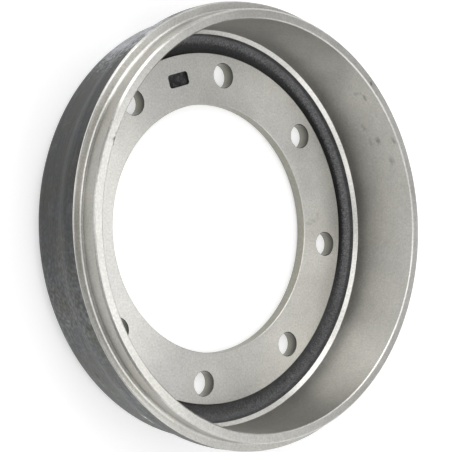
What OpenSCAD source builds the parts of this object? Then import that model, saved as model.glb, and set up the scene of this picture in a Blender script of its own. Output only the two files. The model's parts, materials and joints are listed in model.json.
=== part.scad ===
// Brake drum for a heavy commercial axle: one grey iron casting, turned, bored and drilled.
// It stands on its mounting face with the open end up. The axis is +Z and the origin is
// the middle of the mounting face. One bolt hole lies on +Y.

/* [Mounting flange] */
// Thickness of the flange between its two turned faces
flange_t = 12.5; // [10:0.5:18]
// Diameter of the centre bore that pilots on the hub
bore_d = 220.8; // [200:0.2:226]
// Chamfer of the bore on the mounting side, which clears the root of the hub
bore_rear_chamfer = 2.9; // [0.5:0.1:4]
// Chamfer of the bore on the inner side
bore_front_chamfer = 0.5; // [0.2:0.1:2]
// How far the turned mounting face reaches out past the turned face inside the drum
mounting_face_reach = 2.5; // [0:0.5:5]

/* [Wheel stud holes] */
// Number of stud holes
hole_count = 8; // [6:1:10]
// Diameter of the circle that the stud holes lie on
hole_circle_d = 275; // [268:0.5:281]
// Diameter of each stud hole
hole_d = 22; // [18:0.5:26]
// Edge break of each stud hole on both faces
hole_chamfer = 0.4; // [0.2:0.1:1]

/* [Friction surface] */
// Diameter of the bored surface that the shoes rub on
friction_d = 351; // [348:0.5:356]
// Chamfer at the mouth of the friction surface
mouth_chamfer = 0.9; // [0.5:0.1:2]
// Height of the friction surface's lower end above the inner face
friction_start = 6; // [5:0.5:12]
// Width of the turned shoulder below the friction surface
shoulder_w = 3.5; // [2:0.1:5]
// Height of the shoulder's inner edge above the inner face
shoulder_start = 3.3; // [2:0.1:4.5]

/* [Open end] */
// Height of the whole drum from mounting face to open end
drum_h = 89.5; // [75:0.1:130]
// Wall between the friction surface and the turned spigot at the open end
spigot_wall = 8.7; // [7:0.1:12]
// Height of the spigot above the step behind it
spigot_h = 17.2; // [8:0.2:22]
// Chamfer round the end of the spigot
spigot_chamfer = 1.6; // [0.5:0.1:2.5]
// Fillet that the tool leaves at the root of the spigot
spigot_root_r = 2.8; // [0.4:0.1:4]
// Width of the turned step behind the spigot
step_w = 7.8; // [5:0.1:12]
// Width of the turned land round the step
step_land = 5.5; // [3:0.5:8]
// Edge break between the step and its land
step_chamfer = 0.5; // [0.2:0.1:1]

/* [Cast body] */
// How far the cast band behind the turned step stands out past it
band_proud = 0.9; // [0.5:0.1:2]
// Length of the cast band, from the step to where the casting narrows
band_l = 15.8; // [12:0.2:20]
// Length of the slope from the band down to the body
band_slope_l = 11.6; // [8:0.2:16]
// Radius that blends both ends of that slope
band_blend_r = 32; // [10:1:40]
// Wall between the friction surface and the body where the slope meets it
body_front_wall = 13.4; // [11:0.1:15]
// Wall at the rear of the body, thinner by the pattern's draft
body_rear_wall = 9.2; // [8:0.1:11]
// Radius of the corner between the body and the web
corner_r = 17; // [10:0.5:20]
// Height by which the cast web stands back from the mounting face
web_recess = 1; // [0.5:0.1:2]

/* [Cast groove] */
// Width of the groove between the inner face and the shoulder
groove_w = 16.5; // [13:0.5:20]
// Radial width of the steep side next to the inner face
groove_lip_w = 1.2; // [0.6:0.1:2]
// Depth of that steep side
groove_lip_h = 2.2; // [1:0.1:3]
// Depth below the inner face where the two slopes of the floor would meet
groove_depth = 5.8; // [4:0.1:7]
// Radius of the floor of the groove
groove_r = 11; // [4:0.5:11.5]
// Radial lean of the side under the shoulder
groove_wall_w = 1.2; // [0.6:0.1:2]
// Height of the side under the shoulder
groove_wall_h = 3.6; // [2:0.1:5]

/* [Cast pockets] */
// Number of shallow pockets cast into the inner face
pocket_count = 2; // [1:1:3]
// Angle from the hole on +Y to the first pocket
pocket_angle = 22; // [20:0.5:25]
// Diameter of the circle that the pockets are centred on
pocket_circle_d = 269.4; // [262:0.2:280]
// Length of a pocket round the flange
pocket_l = 22.5; // [14:0.5:30]
// Width of a pocket across the flange
pocket_w = 12; // [8:0.5:16]
// Depth of a pocket
pocket_depth = 3.5; // [1.5:0.5:6]
// Radius of the corners of a pocket
pocket_corner_r = 2.8; // [1:0.1:3.8]

/* [Hidden] */

// Fineness of the large turned surfaces and of the holes
turned_fn = 120;
hole_fn = 48;
// Largest angle between two points of a fillet in the section
arc_step = 8;
// How far a cut runs past the surface that it opens
over = 1;
half_turn = 180;

bore_r = bore_d / 2;
friction_r = friction_d / 2;
shoulder_r = friction_r - shoulder_w;
spigot_r = friction_r + spigot_wall;
step_r = spigot_r + step_w;
band_r = step_r + band_proud;
inner_face_r = shoulder_r - groove_w;
mounting_face_r = inner_face_r + mounting_face_reach;
groove_inner_r = inner_face_r + groove_lip_w;
groove_outer_r = shoulder_r - groove_wall_w;
hole_pitch = 360 / hole_count;
step_z = drum_h - spigot_h;
land_z = step_z - step_land;
band_z = step_z - band_l;

function unit(v) = v / norm(v);
function turned(v, angle) = [v.x * cos(angle) - v.y * sin(angle), v.x * sin(angle) + v.y * cos(angle)];

// Points of the arc that rounds the corner at b between a and c, each [radius, height, fillet].
// The arc is as large as b's fillet, or as the sides allow. A side with a fillet at
// its far end as well is shared equally by the two.
function corner_arc(a, b, c) =
  let (
    to_a = unit([a.x - b.x, a.y - b.y]),
    to_c = unit([c.x - b.x, c.y - b.y]),
    half = acos(to_a * to_c) / 2,
    side_a = norm([a.x - b.x, a.y - b.y]) / (a.z > 0 ? 2 : 1),
    side_c = norm([c.x - b.x, c.y - b.y]) / (c.z > 0 ? 2 : 1),
    reach = min(b.z / tan(half), side_a, side_c),
    centre = [b.x, b.y] + unit(to_a + to_c) * reach / cos(half),
    first = [b.x, b.y] + reach * to_a - centre,
    turn = (half_turn - 2 * half) * sign(cross(to_c, to_a)),
    steps = ceil(abs(turn) / arc_step)
  )
  [for (i = [0 : steps]) centre + turned(first, turn * i / steps)];

// A closed outline through the corners, with an arc at each that has a fillet
function rounded(corners) =
  let (n = len(corners))
  [for (i = [0 : n - 1], p = corners[i].z > 0
      ? corner_arc(corners[(i + n - 1) % n], corners[i], corners[(i + 1) % n])
      : [[corners[i].x, corners[i].y]]) p];

// Half section of the drum, from the mounting face round the outside to the bore
module drum_section() {
  polygon(rounded([
    [bore_r + bore_rear_chamfer, 0, 0],
    [mounting_face_r, 0, 0],
    [mounting_face_r + web_recess, web_recess, 0],
    [friction_r + body_rear_wall, web_recess, corner_r],
    [friction_r + body_front_wall, band_z - band_slope_l, band_blend_r],
    [band_r, band_z, band_blend_r],
    [band_r, land_z, 0],
    [step_r, land_z + band_proud, 0],
    [step_r, step_z - step_chamfer, 0],
    [step_r - step_chamfer, step_z, 0],
    [spigot_r, step_z, spigot_root_r],
    [spigot_r, drum_h - spigot_chamfer, 0],
    [spigot_r - spigot_chamfer, drum_h, 0],
    [friction_r + mouth_chamfer, drum_h, 0],
    [friction_r, drum_h - mouth_chamfer, 0],
    [friction_r, flange_t + friction_start, 0],
    [shoulder_r, flange_t + shoulder_start, 0],
    [groove_outer_r, flange_t + shoulder_start - groove_wall_h, 0],
    [(groove_inner_r + groove_outer_r) / 2, flange_t - groove_depth, groove_r],
    [groove_inner_r, flange_t - groove_lip_h, 0],
    [inner_face_r, flange_t, 0],
    [bore_r + bore_front_chamfer, flange_t, 0],
    [bore_r, flange_t - bore_front_chamfer, 0],
    [bore_r, bore_rear_chamfer, 0],
  ]));
}

// One stud hole through the flange, with both edges broken
module stud_hole() {
  r = hole_d / 2;
  rotate_extrude($fn = hole_fn)
    polygon([
      [0, -over],
      [r + hole_chamfer + over, -over],
      [r, hole_chamfer],
      [r, flange_t - hole_chamfer],
      [r + hole_chamfer + over, flange_t + over],
      [0, flange_t + over],
    ]);
}

// One cast pocket: a block with round corners, sunk into the inner face
module pocket() {
  inner_l = pocket_l - 2 * pocket_corner_r;
  inner_w = pocket_w - 2 * pocket_corner_r;
  translate([0, 0, flange_t - pocket_depth])
    linear_extrude(pocket_depth + over)
      union() {
        square([pocket_l, inner_w], center = true);
        square([inner_l, pocket_w], center = true);
        for (x = [-1, 1], y = [-1, 1])
          translate([x * inner_l / 2, y * inner_w / 2])
            circle(r = pocket_corner_r, $fn = hole_fn);
      }
}

module brake_drum() {
  color("darkgray")
    difference() {
      rotate_extrude($fn = turned_fn) drum_section();
      for (k = [0 : hole_count - 1])
        rotate(k * hole_pitch) translate([0, hole_circle_d / 2]) stud_hole();
      for (k = [0 : pocket_count - 1])
        rotate(pocket_angle + k * hole_pitch) translate([0, pocket_circle_d / 2]) pocket();
    }
}

brake_drum();
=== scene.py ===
# Brake drum for a heavy commercial axle, dressed on its CAD frame: grey iron that is turned,
# bored and drilled inside a dark as-cast body, on a pale floor under soft studio light.

import json
import math
from collections import namedtuple

import bmesh
import bpy
from bpy.props import (
    FloatProperty,
    FloatVectorProperty,
    IntProperty,
    PointerProperty,
)
from mathutils import Matrix, Vector, noise


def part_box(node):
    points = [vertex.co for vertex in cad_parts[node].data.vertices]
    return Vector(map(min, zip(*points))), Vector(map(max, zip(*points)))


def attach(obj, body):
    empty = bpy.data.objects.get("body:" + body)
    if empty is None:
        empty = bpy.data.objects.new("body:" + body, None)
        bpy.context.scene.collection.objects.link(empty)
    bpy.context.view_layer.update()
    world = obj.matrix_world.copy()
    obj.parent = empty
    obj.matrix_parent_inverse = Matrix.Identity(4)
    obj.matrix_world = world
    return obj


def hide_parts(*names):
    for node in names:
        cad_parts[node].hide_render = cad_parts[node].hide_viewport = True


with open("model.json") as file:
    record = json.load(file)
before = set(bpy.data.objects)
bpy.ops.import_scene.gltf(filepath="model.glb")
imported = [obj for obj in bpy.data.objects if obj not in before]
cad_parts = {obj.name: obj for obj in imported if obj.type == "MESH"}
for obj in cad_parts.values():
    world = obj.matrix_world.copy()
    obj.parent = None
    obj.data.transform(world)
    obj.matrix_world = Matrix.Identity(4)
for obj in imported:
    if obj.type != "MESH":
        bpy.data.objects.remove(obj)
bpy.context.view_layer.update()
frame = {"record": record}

bl_info = {
    "name": "Brake drum",
    "version": (1, 0, 0),
    "blender": (4, 5, 0),
    "location": "3D View > Sidebar > Drum",
    "description": "A turned and bored grey iron brake drum on a pale floor",
    "category": "Add Mesh",
}

NODE = "brake_drum"
BODY = "root"

MM = 0.001
FULL_TURN = 2 * math.pi
QUARTER_TURN = math.pi / 2

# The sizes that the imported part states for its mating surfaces
MOUNTS = {m["name"]: m for m in frame["record"]["mounts"]}
DRUM_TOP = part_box(NODE)[1].z
FLANGE_THICKNESS = MOUNTS["inner_face"]["pos_m"][2]
BORE_RADIUS = MOUNTS["centre_bore"]["dims"]["r_mm"] * MM
FRICTION_RADIUS = MOUNTS["friction_bore"]["dims"]["r_mm"] * MM
SPIGOT_RADIUS = MOUNTS["spigot"]["dims"]["r_mm"] * MM
STUD_HOLES = MOUNTS["stud_holes"]["dims"]

# Sizes of the drum that nothing mates with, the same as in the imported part
BORE_REAR_CHAMFER = 2.9 * MM
BORE_FRONT_CHAMFER = 0.5 * MM
HOLE_CHAMFER = 0.4 * MM
MOUNTING_FACE_REACH = 2.5 * MM
WEB_RECESS = 1.0 * MM
SHOULDER_WIDTH = 3.5 * MM
SHOULDER_START = 3.3 * MM
FRICTION_START = 6 * MM
MOUTH_CHAMFER = 0.9 * MM
SPIGOT_HEIGHT = 17.2 * MM
SPIGOT_CHAMFER = 1.6 * MM
SPIGOT_ROOT_RADIUS = 2.8 * MM
STEP_WIDTH = 7.8 * MM
STEP_CHAMFER = 0.5 * MM
BAND_PROUD = 0.9 * MM
BAND_LENGTH = 15.8 * MM
BAND_SLOPE_LENGTH = 11.6 * MM
BODY_FRONT_WALL = 13.4 * MM
BODY_REAR_WALL = 9.2 * MM
BODY_CORNER_RADIUS = 17 * MM
GROOVE_WIDTH = 16.5 * MM
GROOVE_LIP_WIDTH = 1.2 * MM
GROOVE_LIP_HEIGHT = 2.2 * MM
GROOVE_DEPTH = 5.8 * MM
GROOVE_WALL_WIDTH = 1.2 * MM
GROOVE_WALL_HEIGHT = 3.6 * MM
POCKET_COUNT = 2
POCKET_ANGLE = math.radians(22)
POCKET_CIRCLE_RADIUS = 134.7 * MM
POCKET_LENGTH = 22.5 * MM
POCKET_WIDTH = 12 * MM
POCKET_CORNER_RADIUS = 2.8 * MM
POCKET_DEPTH = 3.5 * MM

# Radii that blend the cast slope into the body and into the band
SLOPE_REAR_BLEND = 32 * MM
SLOPE_FRONT_BLEND = 22 * MM

# Radii of the cast groove, under the shoulder, on its floor and under the inner face's lip
GROOVE_RADII = (0.9 * MM, 9 * MM, 0.7 * MM)

# Radii left on the edges of the wide chamfers and of the narrow ones
WIDE_CHAMFER_EDGE = 0.15 * MM
NARROW_CHAMFER_EDGE = 0.1 * MM

# The turned land over the eccentric casting. It begins where the casting lies inside the
# step by this share of the deepest cut, and gets wider on a slight curve from there. The
# cut runs out at 45 degrees, over at least the last of these lengths.
LAND_BEGINS = 0.32
NARROWEST_LAND = 0.9 * MM
LAND_WIDENING = 7.4 * MM
LAND_CURVE = 1.2
SHORTEST_RUN_OUT = 0.2 * MM

# Swells and lumps of the casting's outside, as their number in a metre
SWELLS = 14
LUMPS = 37

# How far a cutter runs past the faces that it opens
PAST = 1.0 * MM

# How a pocket's core narrows to its rounded floor: how far each outline lies inside the
# pocket's mouth, and its height above the floor
CORE_TAPER = ((1.5 * MM, 0), (0.75 * MM, 0.15 * MM), (0.25 * MM, 0.6 * MM))

# The least angle between two faces that leaves a sharp edge
SHARP_ANGLE = math.radians(32)

# Half the width of the space that the drum's texture is laid out in, in metres
TEXTURE_REACH = 0.2

# Finishes in the order of the material slots. Where two meet at a broken edge, the earlier
# one runs over it. The first is a paler copy of turned iron that paints glints on the
# chamfers, lands and shoulder, so it takes the edges that it meets.
PAINTED_GLINT, TURNED, COARSE, BORED, PILOT, DRILLED, SKIN, CORED = range(8)


def linear(hex_colour):
    """Turns an sRGB hex colour into the linear colour that Blender works in."""
    shares = [int(hex_colour[i : i + 2], 16) / 255 for i in (1, 3, 5)]
    return tuple(s / 12.92 if s <= 0.04045 else ((s + 0.055) / 1.055) ** 2.4 for s in shares)


class DrumSizes(bpy.types.PropertyGroup):
    """Sizes of the brake drum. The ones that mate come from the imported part."""

    bore_radius: FloatProperty(
        name="Bore radius",
        description="Radius of the centre bore that pilots on the hub",
        default=BORE_RADIUS,
        unit="LENGTH",
    )
    hole_circle_radius: FloatProperty(
        name="Hole circle radius",
        description="Radius of the circle that the stud holes lie on",
        default=STUD_HOLES["pcd_mm"] / 2 * MM,
        unit="LENGTH",
    )
    hole_radius: FloatProperty(
        name="Hole radius",
        description="Radius of each stud hole",
        default=STUD_HOLES["hole_r_mm"] * MM,
        unit="LENGTH",
    )
    hole_count: IntProperty(
        name="Holes",
        description="Number of stud holes",
        default=STUD_HOLES["count"],
        min=3,
    )
    friction_radius: FloatProperty(
        name="Friction radius",
        description="Radius of the bored surface that the shoes rub on",
        default=FRICTION_RADIUS,
        unit="LENGTH",
    )
    spigot_radius: FloatProperty(
        name="Spigot radius",
        description="Radius of the turned spigot at the open end",
        default=SPIGOT_RADIUS,
        unit="LENGTH",
    )
    height: FloatProperty(
        name="Height",
        description="From the mounting face to the open end",
        default=DRUM_TOP,
        unit="LENGTH",
    )
    flange_thickness: FloatProperty(
        name="Flange thickness",
        description="Between the two turned faces of the flange",
        default=FLANGE_THICKNESS,
        unit="LENGTH",
    )
    casting_offset: FloatVectorProperty(
        name="Casting offset",
        description="How far the as-cast body sits off the axis of the turned surfaces",
        default=(1.5 * MM, 0.88 * MM),
        size=2,
        unit="LENGTH",
    )
    casting_wave: FloatProperty(
        name="Casting waviness",
        description="How far the as-cast body wanders in and out of its true form",
        default=0.22 * MM,
        unit="LENGTH",
    )
    edge_break: FloatProperty(
        name="Edge break",
        description="Radius left on turned edges that have no chamfer",
        default=0.2 * MM,
        unit="LENGTH",
    )
    segments: IntProperty(
        name="Segments",
        description="Number of faces round the drum",
        default=640,
        min=64,
    )


class DrumFinishes(bpy.types.PropertyGroup):
    """Colours of the brake drum's finishes."""

    # Painted highlight: a paler copy of the turned iron, so that glints on chamfers and lands show
    # whiter
    bright: FloatVectorProperty(
        name="Bright turned iron",
        description="Chamfers and narrow lands, cut last with a keen tool",
        default=linear("#D5D4D1"),
        subtype="COLOR",
        size=3,
    )
    turned: FloatVectorProperty(
        name="Turned iron",
        description="Bare turned grey iron",
        default=linear("#CAC9C6"),
        subtype="COLOR",
        size=3,
    )
    coarse: FloatVectorProperty(
        name="Coarse turned iron",
        description="Outside of the spigot, cut with a coarser feed than the faces",
        default=linear("#AEADA9"),
        subtype="COLOR",
        size=3,
    )
    bored: FloatVectorProperty(
        name="Bored iron",
        description="Bare iron of the friction surface",
        default=linear("#C3C2BE"),
        subtype="COLOR",
        size=3,
    )
    pilot: FloatVectorProperty(
        name="Pilot bore",
        description="Wall of the centre bore, duller than the turned faces",
        default=linear("#97968E"),
        subtype="COLOR",
        size=3,
    )
    drilled: FloatVectorProperty(
        name="Drilled iron",
        description="Walls of the stud holes",
        default=linear("#8B8A81"),
        subtype="COLOR",
        size=3,
    )
    skin: FloatVectorProperty(
        name="As-cast skin",
        description="Dark skin of the casting",
        default=linear("#47484C"),
        subtype="COLOR",
        size=3,
    )
    # Colour of the pale frost. In its one patch it is also painted sheen, the skin painted paler
    # where light grazes it
    frost_sheen_colour: FloatVectorProperty(
        name="Frosted skin",
        description="Patches where the skin has a pale bloom",
        default=linear("#88898D"),
        subtype="COLOR",
        size=3,
    )
    cored: FloatVectorProperty(
        name="Cored skin",
        description="Groove and pockets, which sand cores left near black",
        default=linear("#1B1B1C"),
        subtype="COLOR",
        size=3,
    )
    # Pale colour of the sand stuck in the pockets, and of the painted light on the groove's outer
    # half
    pale_sand_and_painted_light: FloatVectorProperty(
        name="Dusted skin",
        description="Outer half of the groove, where pale dust has caught",
        default=linear("#6C6C6E"),
        subtype="COLOR",
        size=3,
    )


class DrumStage(bpy.types.PropertyGroup):
    """Floor and light round the brake drum."""

    floor: FloatVectorProperty(
        name="Floor",
        description="Colour of the pale floor",
        default=linear("#D4D4D4"),
        subtype="COLOR",
        size=3,
    )
    surround: FloatVectorProperty(
        name="Surround",
        description="Colour of the room round the floor",
        default=linear("#616161"),
        subtype="COLOR",
        size=3,
    )
    lamp_level: FloatProperty(
        name="Lamp level",
        description="Strength of all lamps together",
        default=1.0,
        min=0.0,
    )


# A corner of the section: where it is, the radius that rounds it and in how many steps,
# then the finish of the straight run after it and the number of points that hold that run
Corner = namedtuple("Corner", "r z fillet steps finish cuts")

# How far from its ends a straight run is held flat
HOLD = 0.5 * MM


def round_off(before, corner, after):
    """Points that round one corner of the section, evenly spaced on an arc."""
    here = Vector((corner.r, corner.z))
    to_before = (Vector((before.r, before.z)) - here).normalized()
    to_after = (Vector((after.r, after.z)) - here).normalized()
    half = to_before.angle(to_after) / 2
    reach = corner.fillet / math.tan(half)
    centre = here + (to_before + to_after).normalized() * reach / math.cos(half)
    start = here + to_before * reach - centre
    finish = here + to_after * reach - centre
    sweep = math.pi - 2 * half
    points = []
    for k in range(corner.steps + 1):
        share = k / corner.steps
        a = math.sin((1 - share) * sweep) / math.sin(sweep)
        b = math.sin(share * sweep) / math.sin(sweep)
        points.append(centre + start * a + finish * b)
    return points


def hold_points(start, end, count):
    """Points along a straight run: one near each end and the rest evenly between them."""
    if count == 0:
        return []
    length = (end - start).length
    along = (end - start) / length * min(HOLD, length / 4)
    first, last = start + along, end - along
    return [first.lerp(last, k / (count - 1)) for k in range(count)]


def follow_section(corners):
    """Turns the corners into points (radius, height) with the finish of each step between."""
    arcs = []
    for k, corner in enumerate(corners):
        if corner.fillet > 0:
            arcs.append(round_off(corners[k - 1], corner, corners[(k + 1) % len(corners)]))
        else:
            arcs.append([Vector((corner.r, corner.z))])
    points, finishes = [], []
    for k, (corner, arc) in enumerate(zip(corners, arcs)):
        points += arc
        finishes += [min(corners[k - 1].finish, corner.finish)] * (len(arc) - 1)
        run = hold_points(arc[-1], arcs[(k + 1) % len(arcs)][0], corner.cuts)
        points += run
        finishes += [corner.finish] * (len(run) + 1)
    return points, finishes


def casting_radius(sizes, radius, angle):
    """How far the casting's round skin is from the turned axis in one direction."""
    across = Vector(sizes.casting_offset)
    along = across.dot(Vector((math.cos(angle), math.sin(angle))))
    return along + math.sqrt(radius**2 - across.length_squared + along**2)


def section_corners(sizes, angle):
    """The drum's section in one direction, from the bore's rear edge out, up and back in."""
    edge, wide, narrow = sizes.edge_break, WIDE_CHAMFER_EDGE, NARROW_CHAMFER_EDGE
    bore, friction, spigot = sizes.bore_radius, sizes.friction_radius, sizes.spigot_radius
    top, flange = sizes.height, sizes.flange_thickness
    shoulder = friction - SHOULDER_WIDTH
    shoulder_low = flange + SHOULDER_START
    inner_face = shoulder - GROOVE_WIDTH
    groove_outer = shoulder - GROOVE_WALL_WIDTH
    groove_middle = (shoulder + inner_face) / 2
    groove_inner = inner_face + GROOVE_LIP_WIDTH
    wall_foot = shoulder_low - GROOVE_WALL_HEIGHT
    under_shoulder, groove_floor, under_lip = GROOVE_RADII
    mounting_face = inner_face + MOUNTING_FACE_REACH
    step = spigot + STEP_WIDTH
    step_top = top - SPIGOT_HEIGHT
    band_start = step_top - BAND_LENGTH
    band = casting_radius(sizes, step + BAND_PROUD, angle)
    body_front = casting_radius(sizes, friction + BODY_FRONT_WALL, angle)
    body_rear = casting_radius(sizes, friction + BODY_REAR_WALL, angle)
    # The deeper the cut at the step, the further back its land runs over the casting. Where
    # the casting lies inside the cut, it keeps its skin right up to the step.
    stock = band - step
    deepest_stock = BAND_PROUD + Vector(sizes.casting_offset).length
    step = min(step, band)
    share = max(0.0, (stock / deepest_stock + LAND_BEGINS) / (1 + LAND_BEGINS))
    land = step_top - NARROWEST_LAND - LAND_WIDENING * share**LAND_CURVE
    run_out = max(SHORTEST_RUN_OUT, stock)
    # The chamfers, the land and the friction surface's shoulder take the paler iron of the painted
    # glints
    return [
        Corner(bore + BORE_REAR_CHAMFER, 0, edge, 2, TURNED, 2),
        Corner(mounting_face, 0, edge, 2, TURNED, 0),
        Corner(mounting_face + WEB_RECESS, WEB_RECESS, edge, 2, SKIN, 3),
        Corner(body_rear, WEB_RECESS, BODY_CORNER_RADIUS, 14, SKIN, 6),
        Corner(body_front, band_start - BAND_SLOPE_LENGTH, SLOPE_REAR_BLEND, 5, SKIN, 2),
        Corner(band, band_start, SLOPE_FRONT_BLEND, 5, SKIN, 3),
        Corner(band, land - run_out, 0, 1, PAINTED_GLINT, 0),
        Corner(step, land, 0, 1, PAINTED_GLINT, 0),
        Corner(step, step_top - STEP_CHAMFER, 0, 1, TURNED, 0),
        Corner(step - STEP_CHAMFER, step_top, 0, 1, TURNED, 2),
        Corner(spigot, step_top, SPIGOT_ROOT_RADIUS, 12, COARSE, 2),
        Corner(spigot, top - SPIGOT_CHAMFER, wide, 2, PAINTED_GLINT, 0),
        Corner(spigot - SPIGOT_CHAMFER, top, wide, 2, TURNED, 2),
        Corner(friction + MOUTH_CHAMFER, top, narrow, 2, PAINTED_GLINT, 0),
        Corner(friction, top - MOUTH_CHAMFER, narrow, 2, BORED, 4),
        Corner(friction, flange + FRICTION_START, wide, 2, PAINTED_GLINT, 2),
        Corner(shoulder, shoulder_low, edge, 2, CORED, 0),
        Corner(groove_outer, wall_foot, under_shoulder, 3, CORED, 0),
        Corner(groove_middle, flange - GROOVE_DEPTH, groove_floor, 6, CORED, 0),
        Corner(groove_inner, flange - GROOVE_LIP_HEIGHT, under_lip, 3, CORED, 0),
        Corner(inner_face, flange, edge, 2, TURNED, 5),
        Corner(bore + BORE_FRONT_CHAMFER, flange, narrow, 2, TURNED, 0),
        Corner(bore, flange - BORE_FRONT_CHAMFER, narrow, 2, PILOT, 2),
        Corner(bore, BORE_REAR_CHAMFER, edge, 2, PILOT, 0),
    ]


def wander(sizes, point, finish):
    """Moves a point of the casting's outside a little in or out, as sand moulds leave it."""
    if finish != SKIN:
        return point
    swell = noise.noise(point * SWELLS, noise_basis="PERLIN_ORIGINAL")
    lump = noise.noise(point * LUMPS, noise_basis="PERLIN_ORIGINAL")
    out = Vector((point.x, point.y, 0)).normalized()
    return point + out * sizes.casting_wave * (swell + 0.5 * lump)


def lathe(mesh, sizes):
    """Makes the drum without its holes, section by section round the axis."""
    rings = []
    for k in range(sizes.segments):
        angle = k * FULL_TURN / sizes.segments
        points, finishes = follow_section(section_corners(sizes, angle))
        ring = []
        for i, point in enumerate(points):
            place = Vector((point.x * math.cos(angle), point.x * math.sin(angle), point.y))
            both_sides = min(finishes[i - 1], finishes[i])
            ring.append(mesh.verts.new(wander(sizes, place, both_sides)))
        rings.append(ring)
    # Every section has the same finishes in the same order
    for k, ring in enumerate(rings):
        following = rings[(k + 1) % len(rings)]
        for i, finish in enumerate(finishes):
            j = (i + 1) % len(ring)
            face = mesh.faces.new((ring[i], following[i], following[j], ring[j]))
            face.material_index = finish
            face.smooth = True


def stack(outlines, finish):
    """Closed solid from outlines of equal length that lie one above the other."""
    mesh = bmesh.new()
    rings = [[mesh.verts.new(point) for point in outline] for outline in outlines]
    for low, high in zip(rings, rings[1:]):
        for k in range(len(low)):
            j = (k + 1) % len(low)
            mesh.faces.new((low[k], low[j], high[j], high[k]))
    mesh.faces.new(reversed(rings[0]))
    mesh.faces.new(rings[-1])
    for face in mesh.faces:
        face.material_index = finish
        face.smooth = True
    return mesh


def circle(centre, radius, height, segments=72):
    """Points round a circle at one height."""
    points = []
    for k in range(segments):
        angle = k * FULL_TURN / segments
        x = centre.x + radius * math.cos(angle)
        y = centre.y + radius * math.sin(angle)
        points.append(Vector((x, y, height)))
    return points


def stud_drill(sizes, angle):
    """The drill and countersinks that leave one stud hole."""
    centre = Vector((0, sizes.hole_circle_radius, 0))
    centre.rotate(Matrix.Rotation(angle, 3, "Z"))
    radius, flange = sizes.hole_radius, sizes.flange_thickness
    countersink = radius + HOLE_CHAMFER + PAST
    return stack(
        [
            circle(centre, countersink, -PAST),
            circle(centre, radius, HOLE_CHAMFER),
            circle(centre, radius, flange - HOLE_CHAMFER),
            circle(centre, countersink, flange + PAST),
        ],
        DRILLED,
    )


def pocket_outline(length, width, corner, height, steps=8):
    """A rectangle with round corners, long side along X."""
    points = []
    for k in range(4):
        turn = k * QUARTER_TURN
        side_x = (length / 2 - corner) * (1 if k in (0, 3) else -1)
        side_y = (width / 2 - corner) * (1 if k in (0, 1) else -1)
        for i in range(steps + 1):
            angle = turn + i * QUARTER_TURN / steps
            x = side_x + corner * math.cos(angle)
            y = side_y + corner * math.sin(angle)
            points.append(Vector((x, y, height)))
    return points


def pocket_core(sizes, angle):
    """The little core that leaves one cast pocket, with draft and a rounded floor."""
    floor = sizes.flange_thickness - POCKET_DEPTH
    levels = [(inset, floor + rise) for inset, rise in CORE_TAPER]
    levels.append((0, sizes.flange_thickness + PAST))
    outlines = []
    for inset, height in levels:
        length, width = POCKET_LENGTH - 2 * inset, POCKET_WIDTH - 2 * inset
        outlines.append(pocket_outline(length, width, POCKET_CORNER_RADIUS - inset, height))
    mesh = stack(outlines, CORED)
    out = Matrix.Translation((0, POCKET_CIRCLE_RADIUS, 0))
    mesh.transform(Matrix.Rotation(angle, 4, "Z") @ out)
    return mesh


def new_object(name, bm, materials):
    """Makes an object from mesh code, with the given finishes."""
    mesh = bpy.data.meshes.new(name)
    bm.to_mesh(mesh)
    bm.free()
    for material in materials:
        mesh.materials.append(material)
    thing = bpy.data.objects.new(name, mesh)
    bpy.context.scene.collection.objects.link(thing)
    return thing


def cut(piece, cutters):
    """Takes the cutters out of the piece and bins them. Their finish stays on the cut."""
    for cutter in cutters:
        modifier = piece.modifiers.new("cut", "BOOLEAN")
        modifier.operation = "DIFFERENCE"
        modifier.solver = "EXACT"
        modifier.material_mode = "TRANSFER"
        modifier.object = cutter
    graph = bpy.context.evaluated_depsgraph_get()
    result = bpy.data.meshes.new_from_object(piece.evaluated_get(graph))
    piece.modifiers.clear()
    rough = piece.data
    piece.data = result
    result.name = piece.name
    bpy.data.meshes.remove(rough)
    for cutter in cutters:
        bpy.data.meshes.remove(cutter.data)


def add(tree, kind, inputs=None, **settings):
    """Adds a node, sets its settings, then sets or links its inputs by name or number.

    A node that is given as an input stands for its first output in use.
    """
    made = tree.nodes.new(kind)
    for name, value in settings.items():
        setattr(made, name, value)
    for key, value in (inputs or {}).items():
        if isinstance(key, int):
            socket = made.inputs[key]
        else:
            socket = next(s for s in made.inputs if s.enabled and s.name == key)
        if isinstance(value, bpy.types.Node):
            value = next(s for s in value.outputs if s.enabled)
        if isinstance(value, bpy.types.NodeSocket):
            tree.links.new(value, socket)
        else:
            socket.default_value = value
    return made


def per(size_mm):
    """Scale of a pattern whose features are this many millimetres apart."""
    return 1 / (size_mm * MM)


def colour(value):
    """A linear colour with full opacity."""
    return (*value[:3], 1.0)


def tinted(value, tint):
    """A linear colour with its red, green and blue each scaled."""
    return tuple(part * scale for part, scale in zip(value, tint))


def start_material(name):
    """An empty node material. Returns it with its tree."""
    material = bpy.data.materials.new(name)
    material.use_nodes = True
    material.node_tree.nodes.clear()
    return material, material.node_tree


def start_finish(name):
    """A material for one of the drum's finishes. Returns it with its tree and its shader."""
    material, tree = start_material(name)
    shader = add(tree, "ShaderNodeBsdfPrincipled")
    add(tree, "ShaderNodeOutputMaterial", {"Surface": shader})
    return material, tree, shader


Place = namedtuple("Place", "position radius height angle")


def find_place(tree):
    """Where a shaded point is on the drum: its position, radius, height and angle."""
    position = add(tree, "ShaderNodeTexCoord").outputs["Object"]
    parts = add(tree, "ShaderNodeSeparateXYZ", {0: position})
    x, y, height = parts.outputs
    flat = add(tree, "ShaderNodeCombineXYZ", {0: x, 1: y})
    radius = add(tree, "ShaderNodeVectorMath", {0: flat}, operation="LENGTH").outputs["Value"]
    angle = add(tree, "ShaderNodeMath", {0: y, 1: x}, operation="ARCTAN2").outputs[0]
    return Place(position, radius, height, angle)


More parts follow.
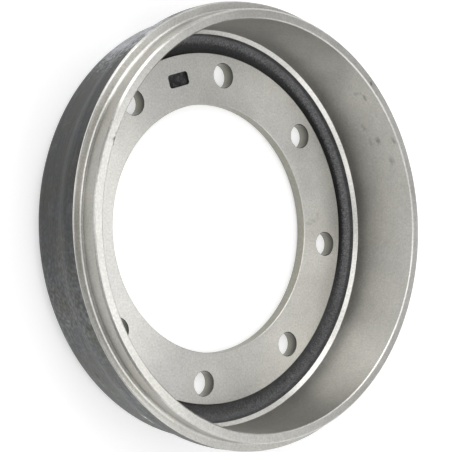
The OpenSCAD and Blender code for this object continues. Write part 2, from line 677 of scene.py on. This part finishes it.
def streaks(tree, across, per_across, angle, per_radian, detail):
    """Noise that is stretched one way: over a size across, and over an angle round the drum."""
    along = add(tree, "ShaderNodeMath", {0: angle, 1: per_radian}, operation="MULTIPLY")
    over = add(tree, "ShaderNodeMath", {0: across, 1: per_across}, operation="MULTIPLY")
    vector = add(tree, "ShaderNodeCombineXYZ", {0: over, 1: along})
    return add(tree, "ShaderNodeTexNoise", {"Vector": vector, "Scale": 1.0, "Detail": detail})


def vary(tree, value, pattern, amount):
    """Makes a value larger and smaller by a share, as a pattern of about 0.25 to 0.75 says."""
    share = add(
        tree,
        "ShaderNodeMath",
        {0: pattern, 1: 4 * amount, 2: 1 - 2 * amount},
        operation="MULTIPLY_ADD",
    )
    return add(tree, "ShaderNodeMath", {0: value, 1: share}, operation="MULTIPLY")


# A mark, from a smudge or scuff to a patch of painted light: its middle and half its length each
# way in millimetres, and how much of the light it takes, or adds where it is negative
Mark = namedtuple("Mark", "middle size strength")


def mark_level(tree, position, marks):
    """How much of the surface's lightness is left by some marks with soft, uneven edges."""
    # Distances from a mark's middle count in its half lengths. The noise adds about 0.8 to
    # them, so a mark is whole in the middle and has faded out at its edge.
    raggedness, whole, faded = 1.6, 0.9, 1.9
    uneven = add(
        tree, "ShaderNodeTexNoise", {"Vector": position, "Scale": per(3), "Detail": 3.0}
    )
    level = 1.0
    for mark in marks:
        middle = [v * MM for v in mark.middle]
        away = add(tree, "ShaderNodeVectorMath", {0: position, 1: middle}, operation="SUBTRACT")
        stretch = [per(v) for v in mark.size]
        scaled = add(tree, "ShaderNodeVectorMath", {0: away, 1: stretch}, operation="MULTIPLY")
        distance = add(tree, "ShaderNodeVectorMath", {0: scaled}, operation="LENGTH")
        ragged = add(
            tree,
            "ShaderNodeMath",
            {0: uneven, 1: raggedness, 2: distance.outputs["Value"]},
            operation="MULTIPLY_ADD",
        )
        left = add(
            tree,
            "ShaderNodeMapRange",
            {
                "Value": ragged,
                "From Min": whole,
                "From Max": faded,
                "To Min": 1 - mark.strength,
                "To Max": 1.0,
            },
            interpolation_type="SMOOTHSTEP",
        )
        level = add(tree, "ShaderNodeMath", {0: left, 1: level}, operation="MULTIPLY")
    return level


# Handling marks on the flange and the end face, and two dark nicks at the drum's mouth
FLANGE_MARKS = (
    Mark((115, 17, 12.5), (5, 2.5, 2), 0.17),
    Mark((120, 20, 12.5), (6, 2.5, 2), 0.17),
    Mark((126, 25, 12.5), (2.5, 5, 2), 0.15),
    Mark((110, 141, 89.5), (2, 3, 2), 0.60),
    Mark((-169.3, 47.2, 89.2), (2.0, 4.5, 2.5), 0.95),
    Mark((-168.6, 53.6, 89.2), (1.5, 2, 2.5), 0.35),
)

# Smudges where shoes or fingers have touched the friction surface. The last, wide and faint,
# is a painted reflection: a soft dark band that the bore mirrors.
SHOE_SMUDGES_AND_REFLECTION = (
    Mark((117, 131, 75), (6, 5, 2.2), 0.40),
    Mark((113, 134, 69), (3, 3, 5), 0.22),
    Mark((147, 96, 66), (4, 6, 4), 0.40),
    Mark((147, 96, 56), (4, 7, 3), 0.22),
    Mark((148, 95, 85), (3, 6, 3), 0.35),
    Mark((157, 78, 75), (4, 7, 4), 0.26),
    Mark((138, 108, 55), (6, 6, 3), 0.20),
    # Painted reflection, not a smudge
    Mark((95, 147, 48), (14, 10, 22), 0.10),
)

# Where the casting's outside is frosted pale, thicker the further the strength is below 0. The
# patch is partly real frost and partly painted sheen, where light grazes the skin.
FROST_SHEEN_PATCHES = (Mark((-122, 148, 40), (66, 56, 90), -0.8),)

# Stains and pale scuffs on the casting's outside. The first three, wide patches, are painted
# sheen: the skin painted paler where it catches the light.
SKIN_SCUFFS_AND_SHEEN = (
    Mark((-122, -140, 40), (125, 118, 200), -2.0),
    Mark((-178, -52, 40), (70, 70, 200), -0.42),
    Mark((-112, 152, 40), (66, 54, 120), -1.0),
    Mark((-85, -167, 39), (6, 6, 2.4), -2.8),
    Mark((-80.5, -169.4, 40), (4, 6, 1.8), -2.8),
    Mark((-75, -172, 38), (4, 5, 2.4), -2.2),
    Mark((-134, -131, 47), (5, 5, 3), 0.5),
    Mark((-128, -136, 29), (6, 6, 3), 0.5),
)

# How a tool leaves grey iron: the roughness, how far the shine is drawn out across the
# grooves, and how far apart the grooves are drawn
Turning = namedtuple("Turning", "roughness anisotropy spacing_mm")
FINE_TURNING = Turning(0.3, 0.8, 1.2)
COARSE_TURNING = Turning(0.34, 0.8, 1.4)
SHOE_BORING = Turning(0.32, 0.9, 1.0)
PILOT_BORING = Turning(0.36, 0.6, 1.0)

# What skin oil and a first film of rust do to bare iron, and a worn coat to the cast skin, as
# shares of the red, green and blue
RUST_FILM = (1.005, 0.995, 0.955)
WORN_COAT = (1.12, 1.14, 0.88)


def link_finish(tree, shader, tone, level, rough, relief, depth_mm):
    """Links a finish to its shader: its tone at each level, its roughness and its relief."""
    tint = add(tree, "ShaderNodeVectorMath", {0: tone, "Scale": level}, operation="SCALE")
    bump = add(
        tree, "ShaderNodeBump", {"Height": relief, "Distance": depth_mm * MM, "Strength": 1.0}
    )
    for socket, node in (("Base Color", tint), ("Roughness", rough), ("Normal", bump)):
        tree.links.new(node.outputs[0], shader.inputs[socket])


def machined_finish(name, base, turning, marks=()):
    """Bare grey iron cut on a lathe: pale, near neutral, with a silky streak across the grooves."""
    material, tree, shader = start_finish(name)
    place = find_place(tree)
    across = add(tree, "ShaderNodeMath", {0: place.radius, 1: place.height}, operation="ADD")
    # The real feed marks are 0.3 mm apart, too fine to show, so they are drawn wider
    grooves = streaks(tree, across, per(turning.spacing_mm), place.angle, 0.6, 1.0)
    # Handling leaves clouds some 40 mm across. The graphite in the iron gives a speckle that
    # is finer than 0.2 mm and would not show, so it is drawn at 1.8 mm.
    cloud = add(
        tree,
        "ShaderNodeTexNoise",
        {"Vector": place.position, "Scale": per(38), "Detail": 7.0, "Roughness": 0.72},
    )
    speck = add(
        tree,
        "ShaderNodeTexNoise",
        {"Vector": place.position, "Scale": per(1.8), "Detail": 2.0},
    )
    level = 1.0
    for pattern, amount in ((cloud, 0.12), (grooves, 0.012), (speck, 0.13)):
        level = vary(tree, level, pattern, amount)
    if marks:
        worn = mark_level(tree, place.position, marks)
        level = add(tree, "ShaderNodeMath", {0: level, 1: worn}, operation="MULTIPLY")
    # Skin oil and the first film of rust warm the iron in patches
    warm = add(
        tree,
        "ShaderNodeTexNoise",
        {"Vector": place.position, "Scale": per(70), "Detail": 3.0, "Distortion": 0.5},
    )
    tone = add(
        tree,
        "ShaderNodeMix",
        {
            "Factor": vary(tree, 0.5, warm, 0.9),
            "A": colour(base),
            "B": colour(tinted(base, RUST_FILM)),
        },
        data_type="RGBA",
    )
    rough = vary(tree, vary(tree, turning.roughness, grooves, 0.05), cloud, 0.06)
    link_finish(tree, shader, tone, level, rough, grooves, depth_mm=0.004)
    shader.inputs["Metallic"].default_value = 1.0
    shader.inputs["Anisotropic"].default_value = turning.anisotropy
    shader.inputs["Anisotropic Rotation"].default_value = 0.25
    tangent = add(tree, "ShaderNodeTangent", direction_type="RADIAL", axis="Z")
    tree.links.new(tangent.outputs[0], shader.inputs["Tangent"])
    return material


def drilled_finish(base):
    """Drilled grey iron: duller and darker than turned iron, with rings from the drill and painted
    shade near the mouth.
    """
    material, tree, shader = start_finish("drilled_grey_iron")
    place = find_place(tree)
    # The drill's feed marks are 0.2 mm apart, too fine to show, so they are drawn wider
    rings_apart = (per(12), per(12), per(0.8))
    squeezed = add(
        tree, "ShaderNodeVectorMath", {0: place.position, 1: rings_apart}, operation="MULTIPLY"
    )
    rings = add(tree, "ShaderNodeTexNoise", {"Vector": squeezed, "Scale": 1.0, "Detail": 2.0})
    # Painted light and shade: the wall is painted darker near the mouth and paler towards the rear
    # of the hole
    painted_depth_light = add(
        tree,
        "ShaderNodeMapRange",
        {
            "Value": place.height,
            "From Min": 1 * MM,
            "From Max": 11 * MM,
            "To Min": 1.25,
            "To Max": 0.3,
        },
    )
    level = vary(tree, painted_depth_light, rings, 0.12)
    rough = vary(tree, 0.2, rings, 0.15)
    link_finish(tree, shader, base[:], level, rough, rings, depth_mm=0.03)
    shader.inputs["Metallic"].default_value = 1.0
    return material


def sand_texture(tree, place, drag):
    """Patterns of a sand-cast skin: clouds, grain, and the drag of the brush that coated it.

    The drag is its width across in millimetres and its number of lengths in a radian.
    """
    cloud = add(
        tree,
        "ShaderNodeTexNoise",
        {
            "Vector": place.position,
            "Scale": per(18),
            "Detail": 8.0,
            "Roughness": 0.75,
            "Distortion": 0.6,
        },
    )
    # Sand grain is 0.2 to 0.3 mm and would not show, so it is drawn several times as large
    grain = add(
        tree,
        "ShaderNodeTexNoise",
        {"Vector": place.position, "Scale": per(1.5), "Detail": 3.0, "Roughness": 0.65},
    )
    across = add(tree, "ShaderNodeMath", {0: place.radius, 1: place.height}, operation="ADD")
    drag_mm, per_radian = drag
    drawn = streaks(tree, across, per(drag_mm), place.angle, per_radian, 3.0)
    return cloud, grain, drawn


def coat_skin(tree, shader, tone, level, texture, roughness, depth_mm):
    """Gives a cast skin its grain, its dull sheen and its relief."""
    cloud, grain, drawn = texture
    level = vary(tree, vary(tree, level, grain, 0.35), drawn, 0.25)
    rough = vary(tree, vary(tree, roughness, cloud, 0.2), grain, 0.15)
    relief = add(tree, "ShaderNodeMath", {0: grain, 1: drawn}, operation="ADD")
    link_finish(tree, shader, tone, level, rough, relief, depth_mm)


def as_cast_finish(base, frost_sheen_colour):
    """Grey iron as cast, under a thin dark coat: blue-grey with a dull sheen, pale frost and
    painted sheen.
    """
    material, tree, shader = start_finish("as_cast_skin")
    place = find_place(tree)
    texture = sand_texture(tree, place, drag=(2.5, 5.0))
    cloud = texture[0]
    # The coat is worn thin in patches, and the skin under it is warmer than the coat
    thin = add(
        tree,
        "ShaderNodeTexNoise",
        {"Vector": place.position, "Scale": per(24), "Detail": 5.0, "Roughness": 0.65},
    )
    coat = add(
        tree,
        "ShaderNodeMix",
        {
            "Factor": vary(tree, 0.5, thin, 1.4),
            "A": colour(base),
            "B": colour(tinted(base, WORN_COAT)),
        },
        data_type="RGBA",
    )
    # The pale frost shows where the clouds are thick, and most of all inside its patch, where it is
    # also painted sheen: the skin is painted paler there, as if lit
    frost_sheen_patch = mark_level(tree, place.position, FROST_SHEEN_PATCHES)
    crust = add(tree, "ShaderNodeMath", {0: cloud, 1: 2.0, 2: frost_sheen_patch}, operation="MULTIPLY_ADD")
    frost_sheen = add(
        tree,
        "ShaderNodeMapRange",
        {"Value": crust, "From Min": 2.0, "From Max": 3.2},
        interpolation_type="SMOOTHSTEP",
    )
    tone = add(
        tree, "ShaderNodeMix", {"Factor": frost_sheen, "A": coat, "B": colour(frost_sheen_colour)}, data_type="RGBA"
    )
    # The skin's own stains and scuffs, and its wide patches of painted sheen
    level = vary(tree, mark_level(tree, place.position, SKIN_SCUFFS_AND_SHEEN), cloud, 0.34)
    coat_skin(tree, shader, tone, level, texture, roughness=0.5, depth_mm=0.25)
    shader.inputs["Specular IOR Level"].default_value = 0.2
    return material


def groove_painted_light(tree, place, grain):
    """How much painted light lies in the cast groove, as a share: its outer half painted paler as
    if lit, the steep side under the shoulder in painted shade.
    """
    edge = add(
        tree, "ShaderNodeMath", {0: grain, 1: 4.0 * MM, 2: place.radius}, operation="MULTIPLY_ADD"
    )
    lightening = add(
        tree,
        "ShaderNodeMapRange",
        {
            "Value": edge,
            "From Min": 165.0 * MM,
            "From Max": 170.0 * MM,
            "To Min": -0.5,
            "To Max": 0.5,
        },
        interpolation_type="SMOOTHSTEP",
    )
    # Painted shade on the steep side under the shoulder
    shoulder_shade = add(
        tree,
        "ShaderNodeMapRange",
        {
            "Value": edge,
            "From Min": 172.4 * MM,
            "From Max": 173.4 * MM,
            "To Min": 0.0,
            "To Max": -0.5,
        },
    )
    lightening = add(tree, "ShaderNodeMath", {0: lightening, 1: shoulder_shade}, operation="ADD")
    # The painted light keeps to the outer half less clearly at the +Y end, and towards -Y it lies
    # evenly all over the groove
    y = add(tree, "ShaderNodeSeparateXYZ", {0: place.position}).outputs["Y"]
    uneven = add(
        tree,
        "ShaderNodeMapRange",
        {"Value": y, "From Min": -70 * MM, "From Max": 10 * MM, "To Min": 0.15, "To Max": 1.0},
        interpolation_type="SMOOTHSTEP",
    )
    far_end = add(
        tree,
        "ShaderNodeMapRange",
        {"Value": y, "From Min": 118 * MM, "From Max": 155 * MM, "To Min": 1.0, "To Max": 0.72},
    )
    uneven = add(tree, "ShaderNodeMath", {0: uneven, 1: far_end}, operation="MULTIPLY")
    return add(tree, "ShaderNodeMath", {0: lightening, 1: uneven, 2: 0.5}, operation="MULTIPLY_ADD")


def stuck_sand(tree, place):
    """How pale the sand is that stuck in the pockets, in small lumps, as a share."""
    lumps = add(
        tree, "ShaderNodeTexNoise", {"Vector": place.position, "Scale": per(3.5), "Detail": 3.0}
    )
    pale = add(
        tree,
        "ShaderNodeMapRange",
        {"Value": lumps, "From Min": 0.45, "From Max": 0.7, "To Min": 0.0, "To Max": 0.4},
    )
    # The pockets lie inside this ring and the groove outside it
    in_pocket = add(
        tree,
        "ShaderNodeMapRange",
        {
            "Value": place.radius,
            "From Min": 148 * MM,
            "From Max": 150 * MM,
            "To Min": 1.0,
            "To Max": 0.0,
        },
    )
    return add(tree, "ShaderNodeMath", {0: pale, 1: in_pocket}, operation="MULTIPLY")


def cored_finish(base, pale_sand_and_painted_light):
    """Grey iron as cast against a sand core: near black and grainy, with pale sand in the pockets
    and painted light in the outer groove.
    """
    material, tree, shader = start_finish("cored_skin")
    place = find_place(tree)
    texture = sand_texture(tree, place, drag=(9.0, 125.0))
    cloud, grain = texture[:2]
    # Pale sand stuck in the pockets, and the groove's painted light and shade
    lightening = add(
        tree,
        "ShaderNodeMath",
        {0: stuck_sand(tree, place), 1: groove_painted_light(tree, place, grain)},
        operation="ADD",
    )
    tone = add(
        tree,
        "ShaderNodeMix",
        {"Factor": lightening, "A": colour(base), "B": colour(pale_sand_and_painted_light)},
        data_type="RGBA",
    )
    level = vary(tree, vary(tree, 1.0, cloud, 0.2), grain, 0.3)
    coat_skin(tree, shader, tone, level, texture, roughness=0.42, depth_mm=0.4)
    shader.inputs["Specular IOR Level"].default_value = 0.3
    return material


class DRUM_OT_cast_and_turn(bpy.types.Operator):
    """Make the brake drum: lathe its section, drill the stud holes and sink the pockets"""

    bl_idname = "drum.cast_and_turn"
    bl_label = "Cast and turn the drum"

    def execute(self, context):
        sizes, finishes = context.scene.drum_sizes, context.scene.drum_finishes
        materials = [
            machined_finish("bright_turned_grey_iron", finishes.bright, FINE_TURNING, FLANGE_MARKS),
            machined_finish("turned_grey_iron", finishes.turned, FINE_TURNING, FLANGE_MARKS),
            machined_finish("coarse_turned_grey_iron", finishes.coarse, COARSE_TURNING),
            machined_finish("bored_grey_iron", finishes.bored, SHOE_BORING, SHOE_SMUDGES_AND_REFLECTION),
            machined_finish("pilot_bored_grey_iron", finishes.pilot, PILOT_BORING),
            drilled_finish(finishes.drilled),
            as_cast_finish(finishes.skin, finishes.frost_sheen_colour),
            cored_finish(finishes.cored, finishes.pale_sand_and_painted_light),
        ]
        blank = bmesh.new()
        lathe(blank, sizes)
        drum = new_object("drum_casting", blank, materials)
        pitch = FULL_TURN / sizes.hole_count
        cutters = []
        for k in range(sizes.hole_count):
            drill = stud_drill(sizes, k * pitch)
            cutters.append(new_object(f"stud_drill_{k + 1}", drill, materials))
        for k in range(POCKET_COUNT):
            core = pocket_core(sizes, POCKET_ANGLE + k * pitch)
            cutters.append(new_object(f"pocket_core_{k + 1}", core, materials))
        cut(drum, cutters)
        drum.data.shade_smooth()
        drum.data.set_sharp_from_angle(angle=SHARP_ANGLE)
        # The shine's direction is worked out round the middle of the texture space, so that
        # lies on the axis
        drum.data.use_auto_texspace = False
        drum.data.texspace_location = (0, 0, sizes.height / 2)
        drum.data.texspace_size = (TEXTURE_REACH, TEXTURE_REACH, TEXTURE_REACH)
        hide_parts(NODE)
        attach(drum, BODY)
        return {"FINISHED"}


# The lamps: azimuth from +X and elevation in degrees, width and height in metres, and how
# bright each is, where 1 is as bright as a white surface. The first four stand at one side
# and give nearly half of the light. The others are mostly for the turned faces to mirror.
SOFTBOXES = (
    ("side_low", 118, 12, 0.7, 0.4, 3.3),
    ("side_high", 108, 31, 1.3, 0.6, 2.1),
    ("side_far", 60, 22, 1.3, 0.56, 1.33),
    ("side_wide", 150, 55, 2.2, 0.86, 1.2),
    ("near_side", 150, 52, 0.8, 0.6, 1.2),
    ("near_rim", 174, 33, 0.45, 0.35, 1.2),
    ("near_left", 212, 49, 0.6, 0.5, 0.7),
    ("near_back", 236, 49, 0.7, 0.5, 0.6),
    ("far_wide", 45, 55, 2.2, 0.56, 0.6),
    ("far_side", 78, 49, 0.7, 0.5, 0.9),
    ("front_high", 320, 50, 1.2, 0.6, 0.84),
    ("left_wide", 300, 22, 2.2, 0.86, 0.98),
    ("left_window", 270, 43, 0.7, 0.56, 1.2),
    ("left_high", 285, 60, 0.8, 0.5, 1.3),
    ("over_far", 0, 68, 0.9, 0.55, 2.6),
    ("over_left", 240, 68, 0.8, 0.55, 1.69),
)

# The point that the lamps face, and how far they are from it, in metres
LAMP_AIM = Vector((0, 0, 0.05))
LAMP_DISTANCE = 1.6

# Half the floor's width in metres, and how much the floor glows to the camera and in the
# metal, which with the lamps' light on it makes plain white
FLOOR_REACH = 4.0
FLOOR_GLOW = 0.52

# The camera as fitted to the photograph: its place in metres, the azimuth and elevation that
# it looks along and its roll in degrees, its sensor's width and its lens in millimetres, its
# shift in widths of the frame, and the nearest and furthest that it sees in metres
CAMERA_PLACE = Vector((-0.83388, -0.12224, 1.01841))
CAMERA_AZIMUTH = 8.1251
CAMERA_ELEVATION = -49.3774
CAMERA_ROLL = -87.3696
CAMERA_SENSOR = 36.0
CAMERA_LENS = 117.76
CAMERA_SHIFT = (-0.011479, 0.010970)
CAMERA_CLIP = (0.05, 20.0)


def facing(azimuth, elevation):
    """Direction at an azimuth from +X and an elevation above the floor, in degrees."""
    a, e = math.radians(azimuth), math.radians(elevation)
    return Vector((math.cos(a) * math.cos(e), math.sin(a) * math.cos(e), math.sin(e)))


def hang_softbox(name, azimuth, elevation, width, height, radiance):
    """Hangs an oblong soft lamp that faces the drum and shines evenly all over."""
    light = bpy.data.lights.new(name, "AREA")
    light.shape = "RECTANGLE"
    light.size, light.size_y = width, height
    light.energy = radiance * math.pi * width * height
    lamp = bpy.data.objects.new(name, light)
    way = facing(azimuth, elevation)
    lamp.location = LAMP_AIM + way * LAMP_DISTANCE
    lamp.rotation_mode = "QUATERNION"
    lamp.rotation_quaternion = way.to_track_quat("Z", "Y")
    lamp.visible_camera = False
    bpy.context.scene.collection.objects.link(lamp)


def floor_material(floor_colour):
    """Matt pale paint that shows plain white to the camera and in the metal, but for shadows."""
    material, tree = start_material("matt_pale_floor")
    paths = add(tree, "ShaderNodeLightPath").outputs
    seen = paths["Is Camera Ray"]
    for path in ("Is Glossy Ray", "Is Transmission Ray"):
        seen = add(tree, "ShaderNodeMath", {0: seen, 1: paths[path]}, operation="MAXIMUM")
    strength = add(tree, "ShaderNodeMath", {0: seen, 1: FLOOR_GLOW}, operation="MULTIPLY")
    paint = add(tree, "ShaderNodeBsdfDiffuse", {"Color": colour(floor_colour)})
    glow = add(tree, "ShaderNodeEmission", {"Color": colour((1, 1, 1)), "Strength": strength})
    both = add(tree, "ShaderNodeAddShader", {0: paint, 1: glow})
    add(tree, "ShaderNodeOutputMaterial", {"Surface": both})
    return material


def lay_floor(floor_colour):
    """Lays a plain floor under the drum, far wider than the picture."""
    sheet = bmesh.new()
    corners = ((-1, -1), (1, -1), (1, 1), (-1, 1))
    sheet.faces.new([sheet.verts.new((x * FLOOR_REACH, y * FLOOR_REACH, 0)) for x, y in corners])
    floor = new_object("floor", sheet, [floor_material(floor_colour)])


def surround_with(scene, room_colour):
    """Puts a plain room round the floor, which the drum mirrors and which lights it a little."""
    world = bpy.data.worlds.new("room")
    world.use_nodes = True
    background = world.node_tree.nodes["Background"]
    background.inputs["Color"].default_value = colour(room_colour)
    background.inputs["Strength"].default_value = 1.0
    scene.world = world


def set_camera(scene):
    """Sets up the camera, which sees the drum as the photograph does."""
    lens = bpy.data.cameras.new("camera")
    lens.sensor_width = CAMERA_SENSOR
    lens.lens = CAMERA_LENS
    lens.shift_x, lens.shift_y = CAMERA_SHIFT
    lens.clip_start, lens.clip_end = CAMERA_CLIP
    camera = bpy.data.objects.new("camera", lens)
    look = facing(CAMERA_AZIMUTH, CAMERA_ELEVATION)
    level_right = look.cross(Vector((0, 0, 1))).normalized()
    right = Matrix.Rotation(math.radians(CAMERA_ROLL), 3, look) @ level_right
    up = right.cross(look)
    turn = Matrix((right, up, -look)).transposed()
    camera.matrix_world = Matrix.LocRotScale(CAMERA_PLACE, turn, None)
    scene.collection.objects.link(camera)
    scene.camera = camera


class DRUM_OT_set_stage(bpy.types.Operator):
    """Lay the floor, hang the lamps and set up the camera"""

    bl_idname = "drum.set_stage"
    bl_label = "Set the stage"

    def execute(self, context):
        scene, stage = context.scene, context.scene.drum_stage
        lay_floor(stage.floor)
        surround_with(scene, stage.surround)
        for *box, radiance in SOFTBOXES:
            hang_softbox(*box, radiance * stage.lamp_level)
        set_camera(scene)
        scene.view_settings.view_transform = "Standard"
        return {"FINISHED"}


class DRUM_PT_sidebar(bpy.types.Panel):
    """Sizes, finishes and stage of the brake drum"""

    bl_idname = "DRUM_PT_sidebar"
    bl_label = "Brake drum"
    bl_space_type = "VIEW_3D"
    bl_region_type = "UI"
    bl_category = "Drum"

    def draw(self, context):
        layout, scene = self.layout, context.scene
        for group in (scene.drum_sizes, scene.drum_finishes, scene.drum_stage):
            box = layout.box()
            for name in group.__annotations__:
                box.prop(group, name)
        layout.operator(DRUM_OT_cast_and_turn.bl_idname)
        layout.operator(DRUM_OT_set_stage.bl_idname)


CLASSES = (
    DrumSizes,
    DrumFinishes,
    DrumStage,
    DRUM_OT_cast_and_turn,
    DRUM_OT_set_stage,
    DRUM_PT_sidebar,
)


def register():
    """Registers the classes and gives every scene the drum's settings."""
    for cls in CLASSES:
        bpy.utils.register_class(cls)
    bpy.types.Scene.drum_sizes = PointerProperty(type=DrumSizes)
    bpy.types.Scene.drum_finishes = PointerProperty(type=DrumFinishes)
    bpy.types.Scene.drum_stage = PointerProperty(type=DrumStage)


def unregister():
    """Takes the settings and the classes away again."""
    del bpy.types.Scene.drum_stage
    del bpy.types.Scene.drum_finishes
    del bpy.types.Scene.drum_sizes
    for cls in reversed(CLASSES):
        bpy.utils.unregister_class(cls)


def main():
    """Builds the stage and the drum."""
    register()
    bpy.ops.drum.set_stage()
    bpy.ops.drum.cast_and_turn()


if __name__ == "__main__":
    main()
